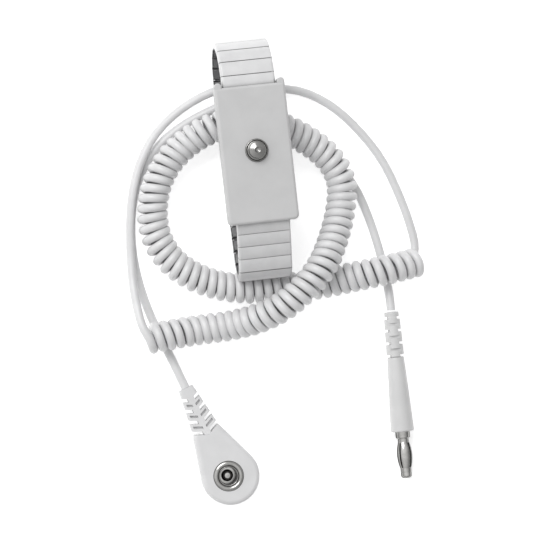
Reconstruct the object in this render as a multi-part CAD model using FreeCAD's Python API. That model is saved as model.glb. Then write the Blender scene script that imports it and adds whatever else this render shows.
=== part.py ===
"""ESD wrist strap: metal expansion band with a snap-stud buckle, and its coiled earth cord.

The band is a closed loop of hollow steel links with painted caps. It stands on its lower run and
holds the buckle on top. The cord passes through the loop: a snap connector, a lead, a long
coil, a second lead and a banana plug. Millimetres, +Z up, +Y along the buckle and the loop,
X across the band. The origin is under the middle of the band, on the surface it stands on.
"""
import FreeCAD, Part
import math
import os
from FreeCAD import Placement, Rotation, Vector

# --- band ---------------------------------------------------------------------------------
LINK_COUNT = 30
CAP_WIDTH = 17.4            # painted cap, across the band
CORE_WIDTH = 16.4           # hollow steel core, across the band
CORE_HALF = 1.0             # half the core's thickness
CORE_WALL = 0.3
CORE_GAP = 0.95             # between two neighbouring cores
CAP_GAP = 0.16              # between two neighbouring caps
CAP_TOP = 1.45              # cap's outer face above the hinge line
CAP_SHEET = 0.28
CAP_CROWN = 0.22            # how far a cap's outer face bulges between its long edges
CAP_SIDE_ROUND = 0.75
SKIRT_DEPTH = 0.75          # how far a cap's side skirts reach below the hinge line
SKIRT_SHEET = 0.27
PIN_R = 0.3
EYE_INNER_R = 0.34
EYE_OUTER_R = 0.62
TONGUE_SHEET = 0.35
TONGUE_WIDTH = 1.2
TONGUE_X = (6.6, 5.0)       # tongue lines of the even and the odd links, either side of the middle
TONGUE_ROOT = 1.4           # how far a tongue's fixed end reaches into its own link
TONGUE_REACH = 2.9          # how far a sliding tongue reaches into the next link
SLOT_WIDTH = 1.5
SLOT_HALF = 0.7
SPRING_HALF = 3.9           # half the leaf spring's length, across the band
SPRING_DEPTH = 1.6
SPRING_SHEET = 0.15
SLIDE_GAPS = (4, 6, 10, 11, 12, 13, 14, 27, 28, 29)   # gaps that stretch; the others hinge
STRAIGHTEN_DEG = {          # how far a hinge in a bend can straighten; the others do so by less
    2: 3.5, 3: 7.0, 5: 9.0, 7: 7.0, 8: 3.5, 24: 5.0, 25: 7.5, 26: 7.5,
}
LEAST_STRAIGHTEN_DEG = 1.5

# --- the loop's side view: hinge line, as (Y, Z) ---------------------------------------------
FAR_PIVOT = (22.4, 26.1)
NEAR_PIVOT = (-19.8, 26.1)
FLOOR_LINE = 1.45
FAR_BEND_Y = 25.8
KNEE_Y = -2.0
NEAR_BEND = (-32.0, 13.2)
NEAR_BEND_R = 6.2

# --- buckle -------------------------------------------------------------------------------
BUCKLE_WIDTH = 23.0
BUCKLE_LENGTH = 46.0
BUCKLE_MID_Y = 1.9
BUCKLE_TOP = 29.0
BUCKLE_BOTTOM = 24.4
BUCKLE_ROOF = 1.2
BUCKLE_INNER_HALF = 9.8     # half the width of the pocket under the roof
BUCKLE_CORNER_R = 1.6
BUCKLE_EDGE_R = 0.9
EAR_R = 1.25                # round lugs at the far end's two corners
EAR_REACH = 1.6             # how far they stand out past the roof
BACK_SHEET = 0.6
BACK_Y = (-17.4, 20.6)
BACK_HALF = 9.6
NEAR_EYE_R = 0.65           # the open pivot's eye has extra clearance
NEAR_EYE_OUTER_R = 0.89

# --- snap stud ----------------------------------------------------------------------------
STUD_Y = 2.2
STUD_FLANGE_R = 3.75
STUD_R = 2.75
STUD_NECK_R = 2.3
RIVET_R = 1.4
STUD_HEIGHT = 3.3

# --- cord ---------------------------------------------------------------------------------
CORD_R = 1.45
COIL_R = 5.2
COIL_ROUTE = (
    (-39.6, -54.6, 8.5), (-31.0, -53.7, 8.6), (-21.0, -53.4, 6.6), (-10.5, -53.2, 8.4),
    (-1.5, -51.5, 13.6), (7.0, -47.8, 17.0), (18.0, -38.8, 17.0), (24.0, -29.0, 12.8),
    (28.4, -18.5, 8.6), (29.8, -9.0, 8.3), (25.6, -0.6, 8.4), (17.8, 6.0, 9.4),
    (8.5, 11.0, 10.9), (-1.5, 12.6, 10.9), (-11.5, 12.2, 10.6), (-21.0, 7.8, 7.6),
    (-28.8, 0.6, 7.3), (-33.2, -8.4, 7.0), (-34.2, -18.8, 5.6), (-31.2, -28.8, 5.3),
    (-24.4, -36.2, 5.3), (-14.6, -41.4, 5.3), (-3.5, -43.6, 5.3), (8.0, -44.0, 5.3),
    (19.0, -42.9, 5.4), (28.6, -41.9, 6.8), (37.0, -41.1, 8.9), (45.4, -40.1, 8.7),
    (52.0, -39.2, 6.0),
)
SNAP_ROUTE = (
    (-29.01, -71.96, 3.2), (-30.5, -67.74, 3.2), (-32.6, -61.6, 2.2), (-35.0, -55.0, 1.5),
    (-38.1, -46.2, 1.46), (-40.4, -36.5, 1.46), (-41.6, -25.0, 1.46), (-40.6, -13.0, 1.46),
    (-37.0, -1.8, 1.46), (-30.6, 7.6, 1.46), (-21.6, 14.2, 1.5), (-12.0, 18.0, 4.1),
    (0.0, 20.9, 4.3), (11.0, 23.1, 4.2), (20.8, 21.6, 1.6), (30.2, 15.6, 1.46),
    (37.9, 7.0, 1.46), (43.8, -4.2, 1.46), (47.6, -16.6, 1.46), (50.2, -26.0, 1.46),
    (52.6, -34.0, 1.7), (53.5, -39.2, 2.26),
)
PLUG_ROUTE = (
    (41.8, -54.65, 3.95), (41.86, -51.2, 3.95), (41.9, -46.8, 2.6), (41.5, -41.4, 1.5),
    (40.4, -33.0, 1.46), (38.8, -23.0, 1.46), (36.6, -12.4, 1.46), (31.8, -3.6, 1.46),
    (24.6, 2.6, 1.46), (17.2, 7.2, 1.7), (10.6, 13.0, 4.0), (4.4, 18.6, 7.3),
    (-4.6, 22.2, 7.6), (-14.0, 23.0, 4.0), (-24.2, 17.2, 1.7), (-32.4, 8.6, 4.1),
    (-37.8, -2.6, 4.7), (-41.2, -14.2, 4.6), (-42.2, -25.0, 4.6), (-42.8, -35.5, 5.6),
    (-42.4, -45.0, 10.0), (-41.6, -50.6, 12.2), (-41.1, -54.6, 12.23),
)
ARC_SHARE = 0.45            # of the shorter run, on each side of a corner

# --- snap connector -----------------------------------------------------------------------
SNAP_HEAD_AT = (-18.3, -102.3)
SNAP_HEAD_R = 9.6
SNAP_HEAD_OFFSET = (0.35, 0.7)      # of the head's round outline from the socket's axis
SNAP_HEIGHT = 6.4
SNAP_COLLAR_AT = (-29.0, -72.0)
SNAP_COLLAR_LENGTH = 2.7
SNAP_COLLAR_HALF = 2.5
SNAP_RELIEF_LENGTH = 17.1   # on the axis
SNAP_RELIEF_HALF = 4.9
SNAP_SPINE_HALF = 1.15
SNAP_SLOTS = 4
SNAP_SLOT_WIDTH = 1.25
SNAP_SWEEP = 0.445          # the ribs lean back towards the collar by this share of their reach
SOCKET_R = 5.0
SOCKET_BORE_R = 2.85
SOCKET_RIM_H = 0.5
SOCKET_DEPTH = 3.75
BORE_LENGTH = 2.7
WIRE_Z = 3.2
WIRE_R = 0.25
WELL_FLOOR = 1.1
RESISTOR_X = 19.9
RESISTOR_LENGTH = 4.2
RESISTOR_R = 1.15

# --- banana plug --------------------------------------------------------------------------
PLUG_AT = (41.8, -54.7, 3.95)
PLUG_TURN_DEG = -90.93      # the plug's axis seen from above, from +X
RELIEF_LENGTH = 15.1
RELIEF_R = (2.45, 2.95)
HANDLE_LENGTH = 24.7
HANDLE_R = (2.8, 3.9)
COLLAR_LENGTH = 2.3
COLLAR_R = 2.4
PIN_LENGTH = 13.2
PIN_ROOT_R = 1.7
WIRE_BORE_R = 0.62
BANANA_R = 1.55
BANANA_TIP_R = 1.8
CAGE_INNER_R = 1.6
CAGE_BULGE_R = 2.5
CAGE_SHEET = 0.2
CAGE_RING = 1.1


def vec(y, z, x=0.0):
    return Vector(x, y, z)


def box(x0, x1, y0, y1, z0, z1):
    return Part.makeBox(x1 - x0, y1 - y0, z1 - z0, Vector(x0, y0, z0))


def outline_face(steps, place):
    """Face inside a closed outline: a step is a corner, or the middle and the end of an arc."""
    first = place(*steps[0])
    last = first
    edges = []
    for step in steps[1:]:
        if isinstance(step[0], tuple):
            middle, end = (place(*point) for point in step)
            edges.append(Part.Arc(last, middle, end).toShape())
        else:
            end = place(*step)
            edges.append(Part.makeLine(last, end))
        last = end
    edges.append(Part.makeLine(last, first))
    return Part.Face(Part.Wire(edges))


def arc_to(centre, radius, start, end):
    """An outline's step along a circle, from one angle to another, in degrees."""
    def at(angle):
        turn = math.radians(angle)
        return centre[0] + radius * math.cos(turn), centre[1] + radius * math.sin(turn)
    return at((start + end) / 2), at(end)


def turned(steps, x=0.0, y=0.0, z=0.0):
    """Solid turned about a vertical axis from an outline in (radius, height)."""
    solid = outline_face(steps, lambda r, h: Vector(r, 0, h)).revolve(Vector(), Vector(0, 0, 1), 360)
    solid.translate(Vector(x, y, z))
    return solid


def lathe(steps):
    """Solid turned about the X axis from an outline in (x, radius)."""
    return outline_face(steps, lambda x, r: Vector(x, r, 0)).revolve(Vector(), Vector(1, 0, 0), 360)


def slab(steps, z0, z1):
    """Flat solid between two heights from an outline in (x, y)."""
    return outline_face(steps, lambda x, y: Vector(x, y, z0)).extrude(Vector(0, 0, z1 - z0))


def tube_x(radius, x0, x1, y=0.0, z=0.0):
    return Part.makeCylinder(radius, x1 - x0, Vector(x0, y, z), Vector(1, 0, 0))


def both_sides(make):
    """The shape that make(side) gives, for the left and the right side."""
    return [make(-1), make(1)]


def span(side, x, width):
    """The lowest and highest X of a strip of this width whose middle is at side * x."""
    return side * x - width / 2, side * x + width / 2


def fused(shapes):
    whole = shapes[0].multiFuse(shapes[1:])
    return whole.removeSplitter()


def round_edges(shape, radius, keep):
    """Fillet the straight edges that keep(start, end) picks."""
    edges = [e for e in shape.Edges if keep(e.Vertexes[0].Point, e.Vertexes[-1].Point)]
    return shape.makeFillet(radius, edges)


# --- the loop's path ----------------------------------------------------------------------
def line_piece(start, end):
    length = math.dist(start, end)

    def at(u):
        share = u / length
        return (start[0] + (end[0] - start[0]) * share, start[1] + (end[1] - start[1]) * share)
    return length, at


def arc_piece(centre, radius, start, sweep):
    def at(u):
        angle = start + math.copysign(u / radius, sweep)
        return (centre[0] + radius * math.cos(angle), centre[1] + radius * math.sin(angle))
    return abs(radius * sweep), at


def tangent_to_near_bend(point, side):
    """Where a line from the point touches the near bend: side 1 for its lower, -1 for its upper line."""
    dy = NEAR_BEND[0] - point[0]
    dz = NEAR_BEND[1] - point[1]
    reach = math.hypot(dy, dz)
    slope = math.atan2(dz, dy) + side * math.asin(NEAR_BEND_R / reach)
    run = math.sqrt(reach ** 2 - NEAR_BEND_R ** 2)
    return (point[0] + run * math.cos(slope), point[1] + run * math.sin(slope))


def loop_path():
    """The hinge line from the buckle's far end, round and under, to its near end."""
    far_r = (FAR_PIVOT[1] - FLOOR_LINE) / 2
    lower = tangent_to_near_bend((KNEE_Y, FLOOR_LINE), 1)
    upper = tangent_to_near_bend(NEAR_PIVOT, -1)
    start = math.atan2(lower[1] - NEAR_BEND[1], lower[0] - NEAR_BEND[0])
    end = math.atan2(upper[1] - NEAR_BEND[1], upper[0] - NEAR_BEND[0])
    sweep = (end - start) % (2 * math.pi) - 2 * math.pi
    return [
        line_piece(FAR_PIVOT, (FAR_BEND_Y, FAR_PIVOT[1])),
        arc_piece((FAR_BEND_Y, FLOOR_LINE + far_r), far_r, math.pi / 2, -math.pi),
        line_piece((FAR_BEND_Y, FLOOR_LINE), (KNEE_Y, FLOOR_LINE)),
        line_piece((KNEE_Y, FLOOR_LINE), lower),
        arc_piece(NEAR_BEND, NEAR_BEND_R, start, sweep),
        line_piece(upper, NEAR_PIVOT),
    ]


def point_on(path, u):
    for length, at in path[:-1]:
        if u <= length:
            return at(u)
        u -= length
    return path[-1][1](u)


def bisect(low, high, too_low):
    for _ in range(48):
        middle = (low + high) / 2
        if too_low(middle):
            low = middle
        else:
            high = middle
    return low


def step_along(path, pitch):
    """Pivots an equal chord apart, and how far along the path the last one is."""
    pivots = [point_on(path, 0)]
    u = 0.0
    for _ in range(LINK_COUNT):
        last = pivots[-1]
        u = bisect(u, u + 2 * pitch, lambda v: math.dist(point_on(path, v), last) < pitch)
        pivots.append(point_on(path, u))
    return pivots, u


def loop_pivots():
    path = loop_path()
    total = sum(length for length, _ in path)
    even = total / LINK_COUNT
    pitch = bisect(0.95 * even, even, lambda p: step_along(path, p)[1] < total)
    return step_along(path, pitch)[0], pitch


# --- one link, in its own frame: start pivot at the origin, Y along it, Z outward -----------
def link_core(pitch, last):
    y0 = CORE_GAP / 2
    y1 = pitch - CORE_GAP / 2
    half = CORE_WIDTH / 2
    core = box(-half, half, y0, y1, -CORE_HALF, CORE_HALF)
    core = round_edges(core, 0.35, lambda a, b: abs(a.x - b.x) > CORE_WIDTH - 1)
    inner = CORE_HALF - CORE_WALL
    cuts = [box(-half - 1, half + 1, y0 + CORE_WALL, y1 - CORE_WALL, -inner, inner)]
    for x in TONGUE_X:
        for side in (-1, 1):
            low, high = span(side, x, SLOT_WIDTH)
            cuts.append(box(low, high, y0 - 1, y0 + CORE_WALL + 0.01, -SLOT_HALF, SLOT_HALF))
            cuts.append(box(low, high, y1 - CORE_WALL - 0.01, y1 + 1, -SLOT_HALF, SLOT_HALF))
    if last:
        for side in (-1, 1):
            low, high = span(side, TONGUE_X[0], SLOT_WIDTH)
            cuts.append(box(low, high, y1 - CORE_WALL - 0.01, y1 + 1, -CORE_HALF - 1, CORE_HALF + 1))
    return core.cut(Part.makeCompound(cuts))


def skirt_trim(y_edge, away):
    """Wedge that takes a skirt's lower corner off, so that neighbours clear each other in a bend."""
    slant = 0.4
    low = -SKIRT_DEPTH - 0.5
    outline = [(y_edge - away, 0.1), (y_edge, 0.1), (y_edge + away * slant, low), (y_edge - away, low)]
    corners = [vec(y, z, -CAP_WIDTH) for y, z in outline]
    return Part.Face(Part.makePolygon(corners + [corners[0]])).extrude(Vector(2 * CAP_WIDTH, 0, 0))


def link_cap(pitch, start_lean, end_lean):
    """Crowned sheet cap with side skirts. Its ends lean over the gaps where the loop bends."""
    half = CAP_WIDTH / 2
    shoulder = CAP_TOP - CAP_CROWN
    y0 = CAP_GAP / 2
    y1 = pitch - CAP_GAP / 2
    top0 = y0 - shoulder * math.tan(math.radians(start_lean))
    top1 = y1 + shoulder * math.tan(math.radians(end_lean))
    middle = (top0 + top1) / 2
    steps = [
        (y0, -SKIRT_DEPTH), (y0, 0), (top0, shoulder), ((middle, CAP_TOP), (top1, shoulder)),
        (y1, 0), (y1, -SKIRT_DEPTH),
    ]
    cap = outline_face(steps, lambda y, z: vec(y, z, -half)).extrude(Vector(CAP_WIDTH, 0, 0))
    cap = round_edges(cap, CAP_SIDE_ROUND, lambda a, b: a.z > 1 and b.z > 1 and abs(a.y - b.y) > 1)
    inner = half - SKIRT_SHEET
    reach = (top1 - top0) / 2
    crown_r = (reach ** 2 + CAP_CROWN ** 2) / (2 * CAP_CROWN)
    hollow = box(-inner, inner, top0 - 1, top1 + 1, -2, CAP_TOP)
    hollow = hollow.common(tube_x(crown_r - CAP_SHEET, -half, half, middle, CAP_TOP - crown_r))
    inner_round = CAP_SIDE_ROUND - 0.35
    hollow = round_edges(hollow, inner_round, lambda a, b: min(a.z, b.z) > 0 and abs(a.y - b.y) > 1)
    return cap.cut(Part.makeCompound([hollow, skirt_trim(y0, 1), skirt_trim(y1, -1)]))


def link_spring(pitch):
    """A thin bowed strip across the hollow core."""
    low = -0.45
    high = low + 0.6
    steps = [
        (-SPRING_HALF, low), ((0, high), (SPRING_HALF, low)), (SPRING_HALF, low + SPRING_SHEET),
        ((0, high + SPRING_SHEET), (-SPRING_HALF, low + SPRING_SHEET)),
    ]
    strip = outline_face(steps, lambda x, z: Vector(x, 0, z)).extrude(Vector(0, SPRING_DEPTH, 0))
    strip.translate(Vector(0, (pitch - SPRING_DEPTH) / 2, 0))
    return strip


def tongue(side, x, y0, y1):
    low, high = span(side, x, TONGUE_WIDTH)
    return box(low, high, y0, y1, -TONGUE_SHEET / 2, TONGUE_SHEET / 2)


def eye_pair(x, y, inner_r, outer_r, y_root):
    """Two eyes round a cross pin at y, each on a tongue that runs to y_root."""
    eyes = []
    for side in (-1, 1):
        low, high = span(side, x, TONGUE_WIDTH)
        first, second = sorted((y, y_root))
        eye = tube_x(outer_r, low, high, y).fuse(tongue(side, x, first, second))
        eyes.append(eye.cut(tube_x(inner_r, low - 1, high + 1, y)).removeSplitter())
    return eyes


def bent_tongue(side, x, turn):
    """Sliding tongue, bent at the pivot to lie along the link before."""
    reach = tongue(side, x, -TONGUE_REACH, 0.05)
    reach.rotate(Vector(0, 0, 0), Vector(1, 0, 0), turn)
    return reach.fuse(tongue(side, x, 0.0, TONGUE_ROOT)).removeSplitter()


def start_connector(index, turn):
    """The pin or the sliding tongues at the link's own start pivot."""
    x = TONGUE_X[index % 2]
    if index in SLIDE_GAPS:
        return both_sides(lambda side: bent_tongue(side, x, turn))
    pin = tube_x(PIN_R, -CORE_WIDTH / 2 + 0.3, CORE_WIDTH / 2 - 0.3)
    arms = both_sides(lambda side: tongue(side, x, 0.0, TONGUE_ROOT))
    return [fused([pin] + arms)]


def end_connector(index, pitch):
    """The eyes that hold the next link's pin, where that joint hinges."""
    after = index + 1
    if after in SLIDE_GAPS:
        return []
    root = pitch - TONGUE_ROOT
    if after == LINK_COUNT:
        return eye_pair(TONGUE_X[0], pitch, NEAR_EYE_R, NEAR_EYE_OUTER_R, root)
    return eye_pair(TONGUE_X[(after + 1) % 2], pitch, EYE_INNER_R, EYE_OUTER_R, root)


def heading(pivots, index):
    """Direction of a link in the side view, in degrees above +Y."""
    start = pivots[index]
    end = pivots[index + 1]
    return math.degrees(math.atan2(end[1] - start[1], end[0] - start[0]))


def cap_lean(pivots, gap):
    """How far the caps beside a gap lean towards each other, in degrees."""
    if gap in (0, LINK_COUNT):
        return 0.0
    turn = (heading(pivots, gap - 1) - heading(pivots, gap) + 180) % 360 - 180
    if gap not in SLIDE_GAPS:
        turn -= STRAIGHTEN_DEG.get(gap, LEAST_STRAIGHTEN_DEG)
    return max(turn / 2, 0.0)


def band_link(index, pivots, pitch):
    own = heading(pivots, index)
    turn = heading(pivots, index - 1) - own if index else 0.0
    cap = link_cap(pitch, cap_lean(pivots, index), cap_lean(pivots, index + 1))
    pieces = [link_core(pitch, index == LINK_COUNT - 1), cap, link_spring(pitch)]
    pieces += start_connector(index, turn)
    pieces += end_connector(index, pitch)
    link = Part.makeCompound(pieces)
    link.Placement = Placement(vec(*pivots[index]), Rotation(Vector(1, 0, 0), own))
    return link


# --- buckle -------------------------------------------------------------------------------
def buckle_cover():
    """Moulded cover: a roof on two side walls, with a round ear at each far corner."""
    y0 = BUCKLE_MID_Y - BUCKLE_LENGTH / 2
    tip = BUCKLE_MID_Y + BUCKLE_LENGTH / 2
    half = BUCKLE_WIDTH / 2
    cover = box(-half, half, y0, tip - EAR_REACH, BUCKLE_BOTTOM, BUCKLE_TOP)
    cover = round_edges(cover, BUCKLE_CORNER_R, lambda a, b: abs(a.z - b.z) > 1 and a.y < BUCKLE_MID_Y)
    cover = round_edges(cover, BUCKLE_EDGE_R, lambda a, b: min(a.z, b.z) > BUCKLE_TOP - 0.1)
    roof = BUCKLE_TOP - BUCKLE_ROOF
    pocket = box(-BUCKLE_INNER_HALF, BUCKLE_INNER_HALF, y0 - 1, tip, BUCKLE_BOTTOM - 1, roof)
    post_hole = Part.makeCylinder(RIVET_R, 3, Vector(0, STUD_Y, roof - 1))
    cover = cover.cut(Part.makeCompound([pocket, post_hole]))
    ear_height = BUCKLE_TOP - 0.2 - BUCKLE_BOTTOM
    crown = 0.4
    shoulder = ear_height - crown
    profile = [
        (0, 0), (EAR_R, 0), (EAR_R, shoulder), arc_to((EAR_R - crown, shoulder), crown, 0, 90),
        (0, ear_height),
    ]
    ears = both_sides(lambda side: turned(profile, side * (half - EAR_R), tip - EAR_R, BUCKLE_BOTTOM))
    return fused([cover] + ears)


def buckle_back_plate():
    plate = box(-BACK_HALF, BACK_HALF, BACK_Y[0], BACK_Y[1], BUCKLE_BOTTOM, BUCKLE_BOTTOM + BACK_SHEET)
    return round_edges(plate, 1.0, lambda a, b: abs(a.z - b.z) > 0.3)


def snap_stud():
    """Flange with a rolled rim, a necked post, and a turned head with a dimple."""
    neck = STUD_NECK_R
    rim = 0.3
    head_low = 1.5
    head_high = STUD_HEIGHT - 0.5
    crown = 0.45
    steps = [
        (0, 0), (STUD_FLANGE_R, 0), (STUD_FLANGE_R, rim), arc_to((STUD_FLANGE_R - rim, rim), rim, 0, 180),
        (STUD_FLANGE_R - 0.8, 0.3), (neck, 0.4), (neck, head_low - 0.3), (STUD_R, head_low),
        (STUD_R, head_high - crown), arc_to((STUD_R - crown, head_high - crown), crown, 0, 65),
        (1.0, STUD_HEIGHT), (0.5, STUD_HEIGHT - 0.3), (0, STUD_HEIGHT - 0.35),
    ]
    return turned(steps, 0, STUD_Y, BUCKLE_TOP + 0.02)


def stud_rivet():
    """Rivet post through the cover's roof, clenched over the washer below."""
    clench_r = 2.0
    high = -BUCKLE_ROOF - 0.42
    low = -BUCKLE_ROOF - 0.8
    post = RIVET_R - 0.05
    steps = [(0, 0), (post, 0), (post, high), (clench_r, high), (clench_r, low), (0, low)]
    return turned(steps, 0, STUD_Y, BUCKLE_TOP)


def contact_washer():
    washer_r = 3.6
    bore = RIVET_R - 0.03
    high = -BUCKLE_ROOF - 0.02
    low = -BUCKLE_ROOF - 0.4
    steps = [(bore, high), (washer_r, high), (washer_r, low), (bore, low)]
    return turned(steps, 0, STUD_Y, BUCKLE_TOP)


def contact_spring():
    """Bent strip that joins the rivet to the steel back plate."""
    half_width = 2.0
    sheet = 0.25
    high = BUCKLE_TOP - BUCKLE_ROOF - 0.85
    low = BUCKLE_BOTTOM + BACK_SHEET + 0.02
    y0 = STUD_Y - 2.0
    steps = [
        (y0, high), (y0 + 4.0, high), (y0 + 9.0, low + sheet), (y0 + 12.0, low + sheet),
        (y0 + 12.0, low), (y0 + 8.9, low), (y0 + 3.9, high - sheet), (y0, high - sheet),
    ]
    return outline_face(steps, lambda y, z: vec(y, z, -half_width)).extrude(Vector(2 * half_width, 0, 0))


def lug_block(y_pin, y_root, inner_r, outer_r):
    """Two lugs on the back plate's edge, with an eye each for a cross pin."""
    lugs = []
    z_root = BUCKLE_BOTTOM + BACK_SHEET + 0.02
    for side in (-1, 1):
        low, high = span(side, TONGUE_X[1], TONGUE_WIDTH)
        first, second = sorted((y_pin, y_root))
        web = box(low, high, first, second, FAR_PIVOT[1] - 0.3, FAR_PIVOT[1] + 0.3)
        foot_y = sorted((y_root, y_root + math.copysign(1.0, y_root - y_pin)))
        foot = box(low, high, foot_y[0], foot_y[1], z_root, FAR_PIVOT[1] + 0.3)
        lug = fused([tube_x(outer_r, low, high, y_pin, FAR_PIVOT[1]), web, foot])
        lugs.append(lug.cut(tube_x(inner_r, low - 1, high + 1, y_pin, FAR_PIVOT[1])))
    bridge = box(-high, high, foot_y[0], foot_y[1], z_root, z_root + 0.5)
    return fused(lugs + [bridge])


def far_hinge_lugs():
    return lug_block(FAR_PIVOT[0], FAR_PIVOT[0] - 3.4, EYE_INNER_R, EYE_OUTER_R)


def near_hinge_lugs():
    lugs = lug_block(NEAR_PIVOT[0], NEAR_PIVOT[0] + 3.4, PIN_R, EYE_OUTER_R)
    pin = tube_x(PIN_R, -CORE_WIDTH / 2 + 0.3, CORE_WIDTH / 2 - 0.3, NEAR_PIVOT[0], NEAR_PIVOT[1])
    return fused([lugs, pin])


# --- cord ---------------------------------------------------------------------------------
def cord_path(route):
    """Straight runs joined by the largest tangent arcs, and the arcs' radii."""
    points = [Vector(*p) for p in route]
    edges = []
    radii = []
    last = points[0]
    for before, corner, after in zip(points, points[1:], points[2:]):
        back = before - corner
        ahead = after - corner
        reach = ARC_SHARE * min(back.Length, ahead.Length)
        back.normalize()
        ahead.normalize()
        half_turn = (math.pi - back.getAngle(ahead)) / 2
        radius = reach / math.tan(half_turn)
        start = corner + back * reach
        end = corner + ahead * reach
        inward = (back + ahead).normalize()
        middle = corner + inward * (radius / math.cos(half_turn) - radius)
        edges.append(Part.LineSegment(last, start).toShape())
        edges.append(Part.Arc(start, middle, end).toShape())
        radii.append(radius)
        last = end
    edges.append(Part.LineSegment(last, points[-1]).toShape())
    return Part.Wire(edges), radii


def cord_tube(name, route, radius):
    path, radii = cord_path(route)
    ahead = Vector(*route[1]) - Vector(*route[0])
    ring = Part.Wire(Part.makeCircle(radius, Vector(*route[0]), ahead))
    tube = path.makePipeShell([ring], True, False)
    if not tube.isValid() or tube.Volume < 0:
        print(name, "tube needs another look")
    expected = math.pi * radius ** 2 * path.Length
    print(name, "length %.1f" % path.Length, "volume / (section x length) %.4f" % (tube.Volume / expected))
    print("   arc radii", " ".join("%.0f" % r for r in radii))
    return tube


# --- snap connector, in its own frame: X along the axis from the collar to the head ---------
def snap_place():
    dx = SNAP_HEAD_AT[0] - SNAP_COLLAR_AT[0]
    dy = SNAP_HEAD_AT[1] - SNAP_COLLAR_AT[1]
    turn = Rotation(Vector(0, 0, 1), math.degrees(math.atan2(dy, dx)))
    return Placement(Vector(SNAP_COLLAR_AT[0], SNAP_COLLAR_AT[1], 0), turn)


def snap_head_x():
    return math.dist(SNAP_HEAD_AT, SNAP_COLLAR_AT)


def teardrop(neck_x, neck_half, head, head_r):
    """Outline round a neck circle and a head circle, joined by two tangent lines."""
    reach = math.dist((neck_x, 0), head)
    lean = math.asin((head_r - neck_half) / reach)
    up = Vector(-math.sin(lean), math.cos(lean), 0)
    down = Vector(-math.sin(lean), -math.cos(lean), 0)
    far = Vector(reach, 0, 0)
    edges = [
        Part.makeLine(up * neck_half, far + up * head_r),
        Part.Arc(far + up * head_r, Vector(reach + head_r, 0, 0), far + down * head_r).toShape(),
        Part.makeLine(far + down * head_r, down * neck_half),
        Part.Arc(down * neck_half, Vector(-neck_half, 0, 0), up * neck_half).toShape(),
    ]
    face = Part.Face(Part.Wire(edges))
    face.rotate(Vector(), Vector(0, 0, 1), math.degrees(math.atan2(head[1], head[0] - neck_x)))
    face.translate(Vector(neck_x, 0, 0))
    return face


def swept_strip(side, x, width, y_in, y_out, z0, z1):
    """Slot that leans back towards the collar; x is where its line would meet the axis."""
    near = x - y_in * SNAP_SWEEP
    far = x - y_out * SNAP_SWEEP
    low = side * y_in
    high = side * y_out
    return slab([(near, low), (near + width, low), (far + width, high), (far, high)], z0, z1)


def behind_join(x):
    """All that lies on the collar's side of the swept joint between the relief and the head."""
    wide = 14.0
    back = x - wide * SNAP_SWEEP
    steps = [(-wide, -wide), (back, -wide), (x, 0), (back, wide), (-wide, wide)]
    return slab(steps, -1, SNAP_HEIGHT + 1)


def wire_channel(x0, x1):
    half = WIRE_R + 0.15
    return box(x0, x1, -half, half, WIRE_Z - half, WIRE_Z + half)


def snap_head():
    head_x = snap_head_x()
    neck_x = SNAP_RELIEF_LENGTH + 0.9
    edge_round = 1.5
    head = (head_x + SNAP_HEAD_OFFSET[0], SNAP_HEAD_OFFSET[1])
    outline = teardrop(neck_x, SNAP_RELIEF_HALF + 0.4, head, SNAP_HEAD_R)
    body = outline.extrude(Vector(0, 0, SNAP_HEIGHT))
    body = round_edges(body, edge_round, lambda a, b: abs(a.z - b.z) < 0.1)
    well = Part.makeCylinder(SOCKET_R + 0.05, SNAP_HEIGHT, Vector(head_x, 0, WELL_FLOOR))
    pocket_half = RESISTOR_R + 0.35
    pocket = box(
        RESISTOR_X - 0.4, RESISTOR_X + RESISTOR_LENGTH + 0.4, -pocket_half, pocket_half,
        WIRE_Z - pocket_half, WIRE_Z + pocket_half)
    channel = wire_channel(SNAP_RELIEF_LENGTH - 2, head_x)
    return body.cut(Part.makeCompound([behind_join(SNAP_RELIEF_LENGTH), well, pocket, channel]))


def snap_strain_relief():
    """Flat tapered sleeve on a spine: swept ribs, with open slots and closed windows in turn."""
    z0 = WIRE_Z - 2.1
    z1 = WIRE_Z + 2.1
    collar = SNAP_COLLAR_LENGTH
    wide = SNAP_RELIEF_HALF
    narrow = SNAP_COLLAR_HALF
    end = SNAP_RELIEF_LENGTH
    flare = (wide - narrow) / end
    body = slab([(0, -narrow), (end, -wide), (end, wide), (0, narrow)], z0, z1)
    body = round_edges(body, 1.0, lambda a, b: abs(a.z - b.z) < 0.1 and abs(a.x - b.x) > 1)
    body = body.common(behind_join(end - 0.02))
    cuts = [wire_channel(-1, end + 1)]
    pitch = (end - SNAP_SLOT_WIDTH - collar - 1.3) / (SNAP_SLOTS - 1)
    window_width = 0.85
    window_depth = 1.0
    for number in range(SNAP_SLOTS):
        slot_x = collar + 1.3 + number * pitch
        window_x = slot_x - pitch / 2 + 0.1
        window_out = narrow + flare * window_x - 1.0
        for side in (-1, 1):
            slot = (side, slot_x, SNAP_SLOT_WIDTH, SNAP_SPINE_HALF, 8)
            cuts.append(swept_strip(*slot, -1, SNAP_HEIGHT + 1))
            if number:
                window = (side, window_x, window_width, 0.55, window_out)
                cuts.append(swept_strip(*window, z1 - window_depth, SNAP_HEIGHT))
                cuts.append(swept_strip(*window, 0, z0 + window_depth))
    return body.cut(Part.makeCompound(cuts))


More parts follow.
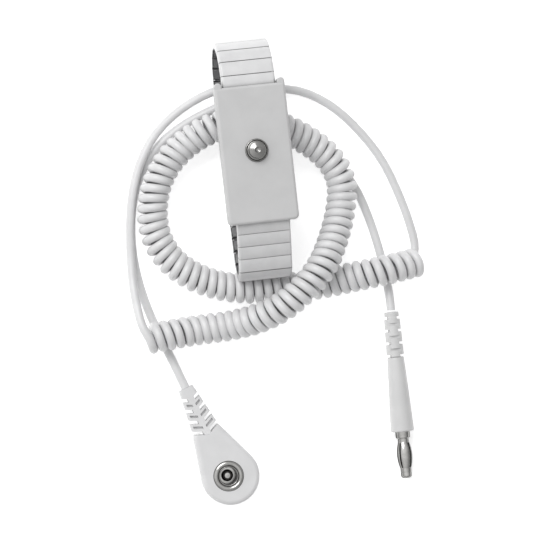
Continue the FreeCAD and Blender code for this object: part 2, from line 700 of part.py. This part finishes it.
def snap_socket():
    """Rolled rim, a thin inner lip and a straight bore for the stud."""
    top = SNAP_HEIGHT + SOCKET_RIM_H
    low = top - SOCKET_DEPTH
    wall = 0.5
    steps = [
        (SOCKET_BORE_R, low), (SOCKET_BORE_R + wall, low), (SOCKET_BORE_R + wall, top - 1.6),
        (SOCKET_R, top - 1.3), (SOCKET_R, top - 0.75), ((4.15, top), (3.3, top - 0.75)),
        ((3.12, top - 0.57), (2.94, top - 0.75)), (SOCKET_BORE_R, low + BORE_LENGTH),
    ]
    return turned(steps, snap_head_x())


def socket_back_cap():
    """Cup with a stamped dome, under the socket, that closes the well."""
    low = WELL_FLOOR + 0.02
    sheet = 0.4
    high = SNAP_HEIGHT + SOCKET_RIM_H - SOCKET_DEPTH - 0.03
    outer = SOCKET_R - 0.1
    dome_r = 2.0
    steps = [
        (0, low), (outer, low), (outer, high), (outer - sheet, high), (outer - sheet, low + sheet),
        (dome_r, low + sheet), (dome_r - 0.2, low + sheet + 0.55), (dome_r - 0.55, low + sheet + 0.95),
        (dome_r - 1.1, low + sheet + 1.25), (0, low + sheet + 1.4),
    ]
    return turned(steps, snap_head_x())


def socket_spring():
    """Split wire ring in the socket's waist, which grips the stud."""
    z = SNAP_HEIGHT + SOCKET_RIM_H - 2.55
    ring = Part.makeTorus(SOCKET_BORE_R + 0.95, 0.3, Vector(snap_head_x(), 0, z))
    split = box(snap_head_x() + 2, snap_head_x() + 6, -0.5, 0.5, z - 1, z + 1)
    return ring.cut(split)


def resistor():
    return Part.makeCylinder(RESISTOR_R, RESISTOR_LENGTH, Vector(RESISTOR_X, 0, WIRE_Z), Vector(1, 0, 0))


def resistor_leads():
    """Wire from the cord to the resistor, and from there to the socket."""
    first_end = RESISTOR_X - 0.6
    second_start = RESISTOR_X + RESISTOR_LENGTH + 0.02
    first = Part.makeCylinder(WIRE_R, first_end, Vector(0.5, 0, WIRE_Z), Vector(1, 0, 0))
    reach = snap_head_x() - SOCKET_R - 0.3 - second_start
    second = Part.makeCylinder(WIRE_R, reach, Vector(second_start, 0, WIRE_Z), Vector(1, 0, 0))
    return Part.makeCompound([first, second])


# --- banana plug, in its own frame: X along the axis from the relief's mouth to the tip ------
def plug_place():
    return Placement(Vector(*PLUG_AT), Rotation(Vector(0, 0, 1), PLUG_TURN_DEG))


def plug_strain_relief():
    """Tapered sleeve: slots in its two sides, and windows above and below, in turn."""
    first, last = RELIEF_R
    flange = 1.6
    end = RELIEF_LENGTH - 0.02
    body = lathe([
        (0, WIRE_BORE_R), (0, first - 0.4), arc_to((0.4, first - 0.4), 0.4, 180, 90), (flange, first),
        (flange + 0.4, first + 0.2), (end - 0.3, last), (end, last - 0.3), (end, WIRE_BORE_R),
    ])
    slot_width = 0.85
    slot_pitch = 4.2
    side_spine = 1.35
    top_spine = 2.15
    window_half = 1.75
    outside = 4.0
    cuts = []
    for number in range(4):
        slot_x = flange + number * slot_pitch
        window_x = slot_x + slot_pitch / 2
        for side in (-1, 1):
            y_in, y_out = sorted((side * side_spine, side * outside))
            cuts.append(box(slot_x, slot_x + slot_width, y_in, y_out, -outside, outside))
            if number < 3:
                z_in, z_out = sorted((side * top_spine, side * outside))
                cuts.append(box(window_x, window_x + slot_width, -window_half, window_half, z_in, z_out))
    return body.cut(Part.makeCompound(cuts))


def plug_handle():
    """Flared grip; its socket holds the pin's root."""
    small, large = HANDLE_R
    start = RELIEF_LENGTH
    end = start + HANDLE_LENGTH
    middle = (start + end) / 2
    socket_r = PIN_ROOT_R + 0.05
    socket_depth = 6.0
    edge = 0.45
    return lathe([
        (start, WIRE_BORE_R), (start, small - edge), arc_to((start + edge, small - edge), edge, 180, 95),
        ((middle, (small + large) / 2 + 0.08), (end - edge, large)),
        arc_to((end - edge, large - edge), edge, 90, 0), (end, socket_r), (end - socket_depth, socket_r),
        (end - socket_depth, WIRE_BORE_R),
    ])


def plug_wire():
    return Part.makeCylinder(0.6, RELIEF_LENGTH + HANDLE_LENGTH - 6.2, Vector(0.1, 0, 0), Vector(1, 0, 0))


def plug_collar():
    """Plated shoulder between the grip and the pin."""
    x0 = RELIEF_LENGTH + HANDLE_LENGTH + 0.02
    x1 = x0 + COLLAR_LENGTH - 0.1
    bore = BANANA_R + 0.02
    edge = 0.3
    return lathe([
        (x0, bore), (x0, COLLAR_R), (x1 - edge, COLLAR_R),
        arc_to((x1 - edge, COLLAR_R - edge), edge, 90, 0), (x1, bore),
    ])


def pin_start():
    return RELIEF_LENGTH + HANDLE_LENGTH + COLLAR_LENGTH


def plug_pin():
    """Core rod with its root in the grip and a rounded tip."""
    x0 = pin_start()
    end = x0 + PIN_LENGTH
    root_start = x0 - 8.0
    root_end = x0 - COLLAR_LENGTH - 0.1
    nose = 0.9
    return lathe([
        (root_start, 0), (root_start, PIN_ROOT_R), (root_end, PIN_ROOT_R), (root_end, BANANA_R),
        (end - 2.0, BANANA_R), (end - 2.0, BANANA_TIP_R), (end - nose, BANANA_TIP_R),
        arc_to((end - nose, BANANA_TIP_R - nose), nose, 90, 0), (end, 0),
    ])


def plug_spring_cage():
    """Four bowed leaves between two rings, free to turn on the pin."""
    x0 = pin_start() + 0.15
    x1 = pin_start() + PIN_LENGTH - 2.15
    ring_r = CAGE_INNER_R + CAGE_SHEET
    bow0 = x0 + CAGE_RING
    bow1 = x1 - CAGE_RING
    peak = (bow0 + bow1) / 2
    shell = lathe([
        (x0, CAGE_INNER_R), (x0, ring_r), (bow0, ring_r), ((peak, CAGE_BULGE_R), (bow1, ring_r)),
        (x1, ring_r), (x1, CAGE_INNER_R), (bow1, CAGE_INNER_R),
        ((peak, CAGE_BULGE_R - CAGE_SHEET), (bow0, CAGE_INNER_R)),
    ])
    slot = box(bow0 + 0.2, bow1 - 0.2, -0.3, 0.3, -4, 4)
    crossed = slot.copy()
    crossed.rotate(Vector(), Vector(1, 0, 0), 90)
    cage = shell.cut(Part.makeCompound([slot, crossed]))
    cage.rotate(Vector(), Vector(1, 0, 0), 45)
    return cage


# --- the whole strap ----------------------------------------------------------------------
def placed(make, place):
    shape = make()
    shape.Placement = place.multiply(shape.Placement)
    return shape


def build():
    nodes = {}
    pivots, pitch = loop_pivots()
    print("link pitch %.3f" % pitch)
    for index in range(LINK_COUNT):
        nodes["link_%02d" % index] = band_link(index, pivots, pitch)
    for make in (
        buckle_cover, buckle_back_plate, snap_stud, stud_rivet, contact_washer, contact_spring,
        far_hinge_lugs, near_hinge_lugs,
    ):
        nodes[make.__name__] = make()
    snap_makers = (
        snap_head, snap_strain_relief, snap_socket, socket_back_cap, socket_spring,
        resistor, resistor_leads,
    )
    for make in snap_makers:
        nodes[make.__name__] = placed(make, snap_place())
    for make in (plug_strain_relief, plug_handle, plug_wire, plug_collar, plug_pin, plug_spring_cage):
        nodes[make.__name__] = placed(make, plug_place())
    nodes["coil_cord"] = cord_tube("coil_cord", COIL_ROUTE, COIL_R)
    nodes["snap_lead"] = cord_tube("snap_lead", SNAP_ROUTE, CORD_R)
    nodes["plug_lead"] = cord_tube("plug_lead", PLUG_ROUTE, CORD_R)
    return nodes


def main():
    os.makedirs("parts", exist_ok=True)
    for name, shape in build().items():
        if not shape.isValid():
            print(name, "is not a valid shape")
        shape.exportStep("parts/%s.step" % name)
    print("done")


main()
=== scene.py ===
"""Looks of the ESD wrist strap: cord, moulded ends, metal finishes, light and camera."""
import bpy
import math
from mathutils import Matrix, Vector


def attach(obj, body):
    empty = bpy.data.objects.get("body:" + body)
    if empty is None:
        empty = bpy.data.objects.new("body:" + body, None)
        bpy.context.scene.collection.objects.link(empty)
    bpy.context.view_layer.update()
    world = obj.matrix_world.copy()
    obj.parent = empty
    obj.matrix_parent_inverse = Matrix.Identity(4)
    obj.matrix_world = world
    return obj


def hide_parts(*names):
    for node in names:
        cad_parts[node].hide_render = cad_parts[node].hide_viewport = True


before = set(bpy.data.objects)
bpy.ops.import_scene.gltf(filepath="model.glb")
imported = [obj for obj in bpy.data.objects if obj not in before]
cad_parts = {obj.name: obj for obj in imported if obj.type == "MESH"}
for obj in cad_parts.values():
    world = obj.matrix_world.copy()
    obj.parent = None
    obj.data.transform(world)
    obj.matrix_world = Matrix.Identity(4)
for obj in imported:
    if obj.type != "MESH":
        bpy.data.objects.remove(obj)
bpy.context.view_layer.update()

MM = 0.001                  # lengths are in millimetres unless MM or a comment says otherwise

# --- camera: nearly overhead, a little to the buckle's left, rolled, through a long lens ------
CAMERA_TILT = math.radians(7.0)
CAMERA_ROLL = math.radians(6.3)
CAMERA_TARGET = Vector((4.41, -38.3, 5.0)) * MM
CAMERA_DISTANCE = 0.95      # metres
VIEW_WIDTH = 181.5 * MM
SENSOR_WIDTH = 36.0
CLIP_RANGE = (0.01, 20)     # metres

# --- light and floor ------------------------------------------------------------------------
WORLD_STRENGTH = 0.96
BRIGHT_SIDE = (-0.4, 0.2, 1.0)
STUDIO_STOPS = ((0.1, 0.28), (0.95, 1.0))   # cosine of the angle to the bright side, and grey
KEY_PLACE = (-0.35, 0.55, 0.9)              # metres, as is its size
KEY_SIZE = 0.7
KEY_WATTS = 6.5
FLOOR_REACH = 3.0                           # metres to each side
FLOOR_GREY = (0.935, 0.945)
FLOOR_GLOW = 0.5            # keeps the floor white where the object stands in its light

# --- cord -----------------------------------------------------------------------------------
CORD_R = 1.45
COIL_TURN_R = 3.74          # of the cord's centreline in a turn
TURN_STEP = 3.12            # along the coil, from turn to turn
TURN_POINTS = 16
UNEVEN = 0.025              # how far a wave moves a turn along the coil, in turns
UNEVEN_WAVES = ((37, 0.0), (83, 1.3))       # rate along the coil in radians, and phase
SWELL = 0.012               # how much the turns' radius varies, as a share of it
SWELL_WAVE = (29, 0.7)
CORD_FACETS = 5             # bevel resolution
CORD_STEPS = 3              # from one control point to the next
ROUTE_STEPS = 24            # the same, where the coil's route is measured
# the three routes' control points; the leads' run from the moulded sleeves towards the coil
COIL_ROUTE = (
    (-39.6, -54.6, 8.5), (-31.0, -53.7, 8.6), (-21.0, -53.4, 6.6), (-10.5, -53.2, 8.4),
    (-1.5, -51.5, 13.6), (7.0, -47.8, 17.0), (18.0, -38.8, 17.0), (24.0, -29.0, 12.8),
    (28.4, -18.5, 8.6), (29.8, -9.0, 8.3), (25.6, -0.6, 8.4), (17.8, 6.0, 9.4),
    (8.5, 11.0, 10.9), (-1.5, 12.6, 10.9), (-11.5, 12.2, 10.6), (-21.0, 7.8, 7.6),
    (-28.8, 0.6, 7.3), (-33.2, -8.4, 7.0), (-34.2, -18.8, 5.6), (-31.0, -28.2, 5.3),
    (-24.0, -35.2, 5.3), (-14.4, -40.0, 5.3), (-3.5, -42.2, 5.3), (8.0, -43.1, 5.3),
    (19.0, -42.9, 5.4), (28.6, -41.9, 6.8), (37.0, -41.1, 8.9), (45.4, -40.1, 8.7),
    (52.0, -39.2, 6.0),
)
SNAP_ROUTE = (
    (-29.01, -71.96, 3.2), (-30.5, -67.74, 3.2), (-32.6, -61.6, 2.2), (-35.0, -55.0, 1.5),
    (-38.1, -46.2, 1.46), (-40.4, -36.5, 1.46), (-41.6, -25.0, 1.46), (-40.6, -13.0, 1.46),
    (-37.0, -1.8, 1.46), (-30.6, 7.2, 1.46), (-21.6, 13.6, 1.5), (-12.0, 17.7, 4.1),
    (0.0, 20.9, 4.3), (11.0, 23.1, 4.2), (20.8, 21.6, 1.6), (30.2, 15.6, 1.46),
    (37.9, 7.0, 1.46), (44.9, -3.8, 1.46), (49.2, -16.2, 1.46), (51.6, -25.8, 1.46),
    (52.9, -34.0, 1.7),
)
PLUG_ROUTE = (
    (41.8, -54.65, 3.95), (41.86, -51.2, 3.95), (41.9, -46.8, 2.6), (41.5, -41.4, 1.5),
    (40.4, -33.0, 1.46), (38.3, -23.0, 1.46), (35.3, -12.9, 1.46), (30.0, -4.2, 1.46),
    (24.6, 2.6, 1.46), (17.2, 7.2, 1.7), (10.6, 13.0, 4.0), (4.4, 18.6, 7.3), (-4.6, 25.0, 7.6),
    (-14.2, 22.8, 4.0), (-24.9, 16.9, 1.8), (-32.9, 8.9, 4.2), (-38.5, -2.2, 4.7),
    (-41.2, -14.2, 4.6), (-42.2, -25.0, 4.6), (-42.8, -35.5, 5.6), (-42.4, -45.0, 10.0),
    (-41.6, -50.6, 12.2),
)


# --- camera ---------------------------------------------------------------------------------
def make_camera():
    """A camera tilted and rolled about its target; its lens frames the view's width there."""
    right = Vector((math.cos(CAMERA_TILT), 0, math.sin(CAMERA_TILT)))
    up = Vector((0, 1, 0))
    back = right.cross(up)
    cos_roll = math.cos(CAMERA_ROLL)
    sin_roll = math.sin(CAMERA_ROLL)
    image_right = right * cos_roll - up * sin_roll
    image_up = right * sin_roll + up * cos_roll
    data = bpy.data.cameras.new("camera")
    data.sensor_width = SENSOR_WIDTH
    data.lens = SENSOR_WIDTH * CAMERA_DISTANCE / VIEW_WIDTH
    data.clip_start, data.clip_end = CLIP_RANGE
    camera = bpy.data.objects.new("camera", data)
    bpy.context.scene.collection.objects.link(camera)
    turn = Matrix((image_right, image_up, back)).transposed()
    place = Matrix.Translation(CAMERA_TARGET + back * CAMERA_DISTANCE)
    camera.matrix_world = place @ turn.to_4x4()
    bpy.context.scene.camera = camera


# --- cord's curve ---------------------------------------------------------------------------
def nurbs_curve(name, points, resolution):
    """One open NURBS spline of order 3 through its end points."""
    data = bpy.data.curves.new(name, "CURVE")
    data.dimensions = "3D"
    data.resolution_u = resolution
    spline = data.splines.new("NURBS")
    spline.points.add(len(points) - 1)
    for target, point in zip(spline.points, points):
        target.co = (*point, 1.0)
    spline.order_u = 3
    spline.use_endpoint_u = True
    return data


def in_metres(route):
    return [Vector(point) * MM for point in route]


def points_along(route):
    """Closely spaced points, in metres, on the route's NURBS spline."""
    data = nurbs_curve("route", in_metres(route), ROUTE_STEPS)
    holder = bpy.data.objects.new("route", data)
    bpy.context.scene.collection.objects.link(holder)
    bpy.context.view_layer.update()
    drawn = holder.evaluated_get(bpy.context.evaluated_depsgraph_get())
    mesh = bpy.data.meshes.new_from_object(drawn)
    points = [v.co.copy() for v in mesh.vertices]
    bpy.data.objects.remove(holder)
    bpy.data.curves.remove(data)
    bpy.data.meshes.remove(mesh)
    return points


def walker(points):
    """The points' length, and a function from a distance along them to place and heading."""
    reach = [0.0]
    for a, b in zip(points, points[1:]):
        reach.append(reach[-1] + (b - a).length)

    def at(distance):
        low = 0
        high = len(points) - 2
        while low < high:
            middle = (low + high + 1) // 2
            if reach[middle] <= distance:
                low = middle
            else:
                high = middle - 1
        a = points[low]
        b = points[low + 1]
        share = (distance - reach[low]) / (reach[low + 1] - reach[low])
        before = points[max(low - 2, 0)]
        after = points[min(low + 3, len(points) - 1)]
        return a.lerp(b, share), (after - before).normalized()
    return at, reach[-1]


def coil_turns():
    """The curly cord's helix about the coil's route, from its left end to its right end.

    It starts at the top of the first turn and ends at the bottom of the last."""
    at, length = walker(points_along(COIL_ROUTE))
    half_turns = round(2 * length / (TURN_STEP * MM))
    turns = half_turns // 2 + 0.5
    steps = round(turns * TURN_POINTS)
    swell_rate, swell_phase = SWELL_WAVE
    points = []
    for step in range(steps + 1):
        share = step / steps
        waves = sum(math.sin(rate * share + phase) for rate, phase in UNEVEN_WAVES)
        uneven = UNEVEN * waves / turns
        ease = min(1.0, 8 * share, 8 * (1 - share))     # none at the coil's two ends
        centre, along = at(length * (share + uneven * ease))
        upward = (Vector((0, 0, 1)) - along * along.z).normalized()
        sideways = upward.cross(along)
        angle = math.pi / 2 + 2 * math.pi * turns * share
        radius = COIL_TURN_R * MM * (1 + SWELL * math.sin(swell_rate * share + swell_phase))
        outward = sideways * math.cos(angle) + upward * math.sin(angle)
        points.append(centre + outward * radius)
    return points


def make_cord():
    """The whole cord on one spline: snap lead, coil from right to left, plug lead."""
    coil = coil_turns()[::-1]
    route = in_metres(SNAP_ROUTE) + coil + in_metres(PLUG_ROUTE)[::-1]
    data = nurbs_curve("earth_cord", route, CORD_STEPS)
    data.bevel_depth = CORD_R * MM
    data.bevel_resolution = CORD_FACETS
    data.use_fill_caps = True
    cord = bpy.data.objects.new("earth_cord", data)
    bpy.context.scene.collection.objects.link(cord)
    return cord


# --- materials --------------------------------------------------------------------------------
class Nodes:
    """A node material on a Principled shader, built up step by step."""
    MOTTLE = (0.35, 0.65)       # where on a noise the two colours of a mottled surface lie
    CREASE = (0.3, 0.95)        # openness of a spot that is darkest, and of one that is clear
    STEEP = 0.1                 # upright part of a normal, at and below which a face gets the darkest painted shade

    def __init__(self, name, colour, roughness, metallic=0.0, **sockets):
        self.material = bpy.data.materials.new(name)
        self.material.use_nodes = True
        self.tree = self.material.node_tree
        self.shader = self.tree.nodes["Principled BSDF"]
        self.shader.inputs["Base Color"].default_value = (*colour, 1)
        self.shader.inputs["Roughness"].default_value = roughness
        self.shader.inputs["Metallic"].default_value = metallic
        for socket, value in sockets.items():
            self.shader.inputs[socket.replace("_", " ")].default_value = value
        self.place = self.add("ShaderNodeTexCoord").outputs["Object"]

    def add(self, kind, **settings):
        node = self.tree.nodes.new(kind)
        for key, value in settings.items():
            setattr(node, key, value)
        return node

    def link(self, a, b):
        self.tree.links.new(a, b)

    def noise(self, scale, detail, stretch=(1, 1, 1)):
        mapping = self.add("ShaderNodeMapping")
        mapping.inputs["Scale"].default_value = stretch
        self.link(self.place, mapping.inputs["Vector"])
        node = self.add("ShaderNodeTexNoise")
        node.inputs["Scale"].default_value = scale
        node.inputs["Detail"].default_value = detail
        node.inputs["Roughness"].default_value = 0.55
        self.link(mapping.outputs["Vector"], node.inputs["Vector"])
        return node.outputs["Fac"]

    def rings(self, centre, spacing):
        """Fine rings about the vertical through a centre, with a spacing in millimetres."""
        mapping = self.add("ShaderNodeMapping", vector_type="POINT")
        mapping.inputs["Location"].default_value = (-centre[0], -centre[1], 0)
        self.link(self.place, mapping.inputs["Vector"])
        wave = self.add("ShaderNodeTexWave", wave_type="RINGS", rings_direction="Z")
        wave.inputs["Scale"].default_value = math.pi / (10 * spacing * MM)
        wave.inputs["Distortion"].default_value = 0.6
        self.link(mapping.outputs["Vector"], wave.inputs["Vector"])
        return wave.outputs["Fac"]

    def ramp(self, value, stops):
        """A colour for a value, from two stops of position and colour."""
        node = self.add("ShaderNodeValToRGB")
        for element, (at, colour) in zip(node.color_ramp.elements, stops):
            element.position = at
            element.color = (*colour, 1)
        self.link(value, node.inputs["Fac"])
        return node.outputs["Color"]

    def grey_ramp(self, value, darkest, start, end):
        """The darkest grey up to the start, rising to white at the end."""
        return self.ramp(value, [(start, (darkest,) * 3), (end, (1, 1, 1))])

    def colour(self, value, low, high):
        """Mottle the base colour between two colours."""
        mottled = self.ramp(value, zip(self.MOTTLE, (low, high)))
        self.link(mottled, self.shader.inputs["Base Color"])

    def multiply(self, factor):
        """Multiply the base colour by a grey factor."""
        source = self.shader.inputs["Base Color"].links[0].from_socket
        mix = self.add("ShaderNodeMix", data_type="RGBA", blend_type="MULTIPLY")
        mix.inputs["Factor"].default_value = 1.0
        self.link(source, mix.inputs["A"])
        self.link(factor, mix.inputs["B"])
        self.link(mix.outputs["Result"], self.shader.inputs["Base Color"])

    def shade_creases(self, reach, darkest):
        """Painted shade: darken what other surfaces close in within a reach."""
        node = self.add("ShaderNodeAmbientOcclusion", samples=8)
        node.inputs["Distance"].default_value = reach
        self.multiply(self.grey_ramp(node.outputs["AO"], darkest, *self.CREASE))

    def paint_side_shade(self, darkest, upright):
        """Painted shade: darken the steep faces; upright is the part of a normal from which
        colour is full.
        """
        parts = self.add("ShaderNodeSeparateXYZ")
        self.link(self.add("ShaderNodeTexCoord").outputs["Normal"], parts.inputs["Vector"])
        self.multiply(self.grey_ramp(parts.outputs["Z"], darkest, self.STEEP, upright))

    def soft_edges(self, radius):
        """A normal that rounds sharp edges."""
        node = self.add("ShaderNodeBevel", samples=6)
        node.inputs["Radius"].default_value = radius
        return node.outputs["Normal"]

    def roughness(self, value, low, high):
        node = self.add("ShaderNodeMapRange")
        node.inputs["To Min"].default_value = low
        node.inputs["To Max"].default_value = high
        self.link(value, node.inputs["Value"])
        self.link(node.outputs["Result"], self.shader.inputs["Roughness"])

    def bump(self, value, distance, strength, normal=None):
        """Relief of a depth in metres, over the given normal where there is one."""
        node = self.add("ShaderNodeBump")
        node.inputs["Strength"].default_value = strength
        node.inputs["Distance"].default_value = distance
        self.link(value, node.inputs["Height"])
        if normal is not None:
            self.link(normal, node.inputs["Normal"])
        self.link(node.outputs["Normal"], self.shader.inputs["Normal"])
        return node.outputs["Normal"]


def shades(colour, low, high):
    """A darker and a lighter shade of a colour."""
    return [tuple(min(1, factor * channel) for channel in colour) for factor in (low, high)]


def plain_plastic(name, dark, light, roughness, grain=2600, grain_depth=0.01 * MM, **sockets):
    """Moulded plastic: faint mottling, a fine moulded grain and uneven gloss."""
    nodes = Nodes(name, light, roughness, **sockets)
    nodes.colour(nodes.noise(140, 4), dark, light)
    nodes.roughness(nodes.noise(420, 3), roughness - 0.06, roughness + 0.08)
    nodes.bump(nodes.noise(grain, 2), grain_depth, 0.5)
    return nodes.material


def cap_paint():
    """Enamel on the folded caps: slight orange peel, softened edges, and painted shade in the
    seams.
    """
    colour = (0.60, 0.60, 0.605)
    nodes = Nodes("cap_paint", colour, 0.34, Coat_Weight=0.25, Coat_Roughness=0.2)
    nodes.colour(nodes.noise(260, 4), (0.58, 0.58, 0.585), (0.62, 0.62, 0.625))
    # painted shade: ambient occlusion darkens the paint in the seams between the caps
    nodes.shade_creases(1.4 * MM, 0.4)
    nodes.roughness(nodes.noise(900, 3), 0.28, 0.42)
    nodes.bump(nodes.noise(1500, 2), 0.02 * MM, 0.4, nodes.soft_edges(0.3 * MM))
    return nodes.material


def brushed(name, colour, roughness, stretch):
    """Steel with fine lines along one direction."""
    nodes = Nodes(name, colour, roughness, metallic=1.0)
    lines = nodes.noise(900, 4, stretch)
    nodes.colour(lines, *shades(colour, 0.8, 1.1))
    nodes.roughness(lines, roughness - 0.08, roughness + 0.12)
    nodes.bump(lines, 0.01 * MM, 0.4)
    return nodes.material


def nickel(name, level, centre=None, darkest=0.22, upright=0.75):
    """Nickel plate with painted shade on its steep sides; round a centre it keeps its turning
    rings.
    """
    colour = (level, 0.99 * level, 0.965 * level)
    nodes = Nodes(name, colour, 0.2, metallic=1.0, Specular_Tint=(0.3, 0.3, 0.3, 1))
    nodes.colour(nodes.noise(380, 4), *shades(colour, 0.88, 1.1))
    # painted shade: the steep sides are darkened in colour, standing in for dark reflections
    nodes.paint_side_shade(darkest, upright)
    nodes.roughness(nodes.noise(900, 4), 0.12, 0.24)
    normal = nodes.bump(nodes.noise(2400, 3), 0.006 * MM, 0.5)
    if centre is not None:
        nodes.bump(nodes.rings(centre, 0.3), 0.02 * MM, 0.8, normal)
    return nodes.material


def copper():
    nodes = Nodes("copper", (0.80, 0.45, 0.30), 0.35, metallic=1.0)
    nodes.roughness(nodes.noise(700, 3), 0.25, 0.45)
    nodes.colour(nodes.noise(500, 3), (0.62, 0.32, 0.2), (0.84, 0.5, 0.34))
    return nodes.material


def floor_material():
    """Pale matt card that glows a little."""
    low, high = ((grey,) * 3 for grey in FLOOR_GREY)
    nodes = Nodes("floor", high, 0.9, Specular_IOR_Level=0.1,
                  Emission_Strength=FLOOR_GLOW, Emission_Color=(1, 1, 1, 1))
    nodes.colour(nodes.noise(6, 2), low, high)
    return nodes.material


def middle(name):
    """Middle of a CAD node in its own coordinates, seen from above."""
    places = [v.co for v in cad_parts[name].data.vertices]
    return tuple((min(c[axis] for c in places) + max(c[axis] for c in places)) / 2
                 for axis in (0, 1))


def make_materials():
    return {
        "cap": cap_paint(),
        "core": brushed("core_steel", (0.33, 0.33, 0.335), 0.38, (1, 8, 8)),
        "steel": brushed("plate_steel", (0.60, 0.60, 0.61), 0.32, (1, 12, 1)),
        # the stud's and the socket's nickel are darker copies of the same plate: painted dark
        # reflection
        "nickel": nickel("nickel", 0.52, darkest=0.05, upright=0.9),
        "stud": nickel("stud_nickel", 0.33, middle("snap_stud")),
        "socket": nickel("socket_nickel", 0.46, middle("snap_socket")),
        "copper": copper(),
        "buckle": plain_plastic(
            "buckle_plastic", (0.49, 0.49, 0.492), (0.515, 0.515, 0.517), 0.45),
        "snap": plain_plastic("snap_plastic", (0.63, 0.63, 0.635), (0.67, 0.67, 0.675), 0.45),
        "plug": plain_plastic("plug_plastic", (0.57, 0.57, 0.57), (0.60, 0.60, 0.60), 0.36),
        "cord": plain_plastic(
            "cord_jacket", (0.62, 0.62, 0.625), (0.67, 0.67, 0.675), 0.36,
            grain=3800, grain_depth=0.012 * MM, Coat_Weight=0.12, Coat_Roughness=0.3),
        "resistor": plain_plastic(
            "resistor_lacquer", (0.36, 0.26, 0.15), (0.45, 0.33, 0.2), 0.4),
    }


# --- CAD nodes --------------------------------------------------------------------------------
CAP_REACH = 8.55 * MM       # a link's cap is wider than this to each side, its core is not
WELD = 0.001 * MM           # vertices this close are one
FINISH = {
    "buckle_cover": "buckle", "buckle_back_plate": "steel", "snap_stud": "stud",
    "stud_rivet": "nickel", "contact_washer": "steel", "contact_spring": "steel",
    "far_hinge_lugs": "steel", "near_hinge_lugs": "steel", "snap_head": "snap",
    "snap_strain_relief": "snap", "snap_socket": "socket", "socket_back_cap": "nickel",
    "socket_spring": "steel", "resistor": "resistor", "resistor_leads": "copper",
    "plug_strain_relief": "plug", "plug_handle": "plug", "plug_wire": "copper",
    "plug_collar": "nickel", "plug_pin": "nickel", "plug_spring_cage": "nickel",
}


def finish_node(name, material):
    """One material on the whole of a CAD node."""
    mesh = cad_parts[name].data
    mesh.materials.clear()
    mesh.materials.append(material)
    for polygon in mesh.polygons:
        polygon.material_index = 0


def spot(vertex):
    return tuple(round(c / WELD) for c in vertex.co)


def solids(mesh):
    """The mesh's separate solids, as lists of polygons, whether or not vertices are merged."""
    owner = {}

    def root(key):
        while owner[key] != key:
            owner[key] = owner[owner[key]]
            key = owner[key]
        return key
    spots = [spot(v) for v in mesh.vertices]
    for key in spots:
        owner[key] = key
    for edge in mesh.edges:
        first, second = (root(spots[v]) for v in edge.vertices)
        owner[first] = second
    found = {}
    for polygon in mesh.polygons:
        found.setdefault(root(spots[polygon.vertices[0]]), []).append(polygon)
    return list(found.values())


def finish_link(name, materials):
    """Paint on the cap, which is the widest of the link's solids, and bare steel on the rest."""
    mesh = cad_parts[name].data
    mesh.materials.clear()
    mesh.materials.append(materials["core"])
    mesh.materials.append(materials["cap"])
    for polygons in solids(mesh):
        reach = max(abs(mesh.vertices[v].co.x) for polygon in polygons for v in polygon.vertices)
        for polygon in polygons:
            polygon.material_index = int(reach > CAP_REACH)


# --- stage ----------------------------------------------------------------------------------
def make_world():
    """A studio that is brightest overhead, towards the key light, and dark on the other side."""
    world = bpy.data.worlds.new("studio")
    world.use_nodes = True
    tree = world.node_tree
    background = tree.nodes["Background"]
    background.inputs["Strength"].default_value = WORLD_STRENGTH
    facing = tree.nodes.new("ShaderNodeVectorMath")
    facing.operation = "DOT_PRODUCT"
    facing.inputs[1].default_value = Vector(BRIGHT_SIDE).normalized()
    ramp = tree.nodes.new("ShaderNodeValToRGB")
    for element, (at, grey) in zip(ramp.color_ramp.elements, STUDIO_STOPS):
        element.position = at
        element.color = (grey, grey, grey, 1)
    direction = tree.nodes.new("ShaderNodeTexCoord").outputs["Generated"]
    tree.links.new(direction, facing.inputs[0])
    tree.links.new(facing.outputs["Value"], ramp.inputs["Fac"])
    tree.links.new(ramp.outputs["Color"], background.inputs["Color"])
    return world


def make_floor():
    mesh = bpy.data.meshes.new("floor")
    far = FLOOR_REACH
    corners = [(-far, -far, 0), (far, -far, 0), (far, far, 0), (-far, far, 0)]
    mesh.from_pydata(corners, [], [(0, 1, 2, 3)])
    mesh.materials.append(floor_material())
    floor = bpy.data.objects.new("floor", mesh)
    bpy.context.scene.collection.objects.link(floor)


def make_key_light():
    """A soft disk light, aimed at the camera's target."""
    light = bpy.data.lights.new("key", "AREA")
    light.shape = "DISK"
    light.size = KEY_SIZE
    light.energy = KEY_WATTS
    lamp = bpy.data.objects.new("key", light)
    lamp.location = KEY_PLACE
    lamp.rotation_mode = "QUATERNION"
    lamp.rotation_quaternion = (CAMERA_TARGET - lamp.location).to_track_quat("-Z", "Y")
    bpy.context.scene.collection.objects.link(lamp)


def main():
    """Build everything and return the cord."""
    make_camera()
    materials = make_materials()
    cord = make_cord()
    cord.data.materials.append(materials["cord"])
    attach(cord, "band_base")
    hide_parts("snap_lead", "coil_cord", "plug_lead")
    for name, finish in FINISH.items():
        finish_node(name, materials[finish])
    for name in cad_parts:
        if name.startswith("link_"):
            finish_link(name, materials)
    make_floor()
    bpy.context.scene.world = make_world()
    bpy.context.scene.view_settings.view_transform = "Standard"
    make_key_light()
    return cord


cord = main()
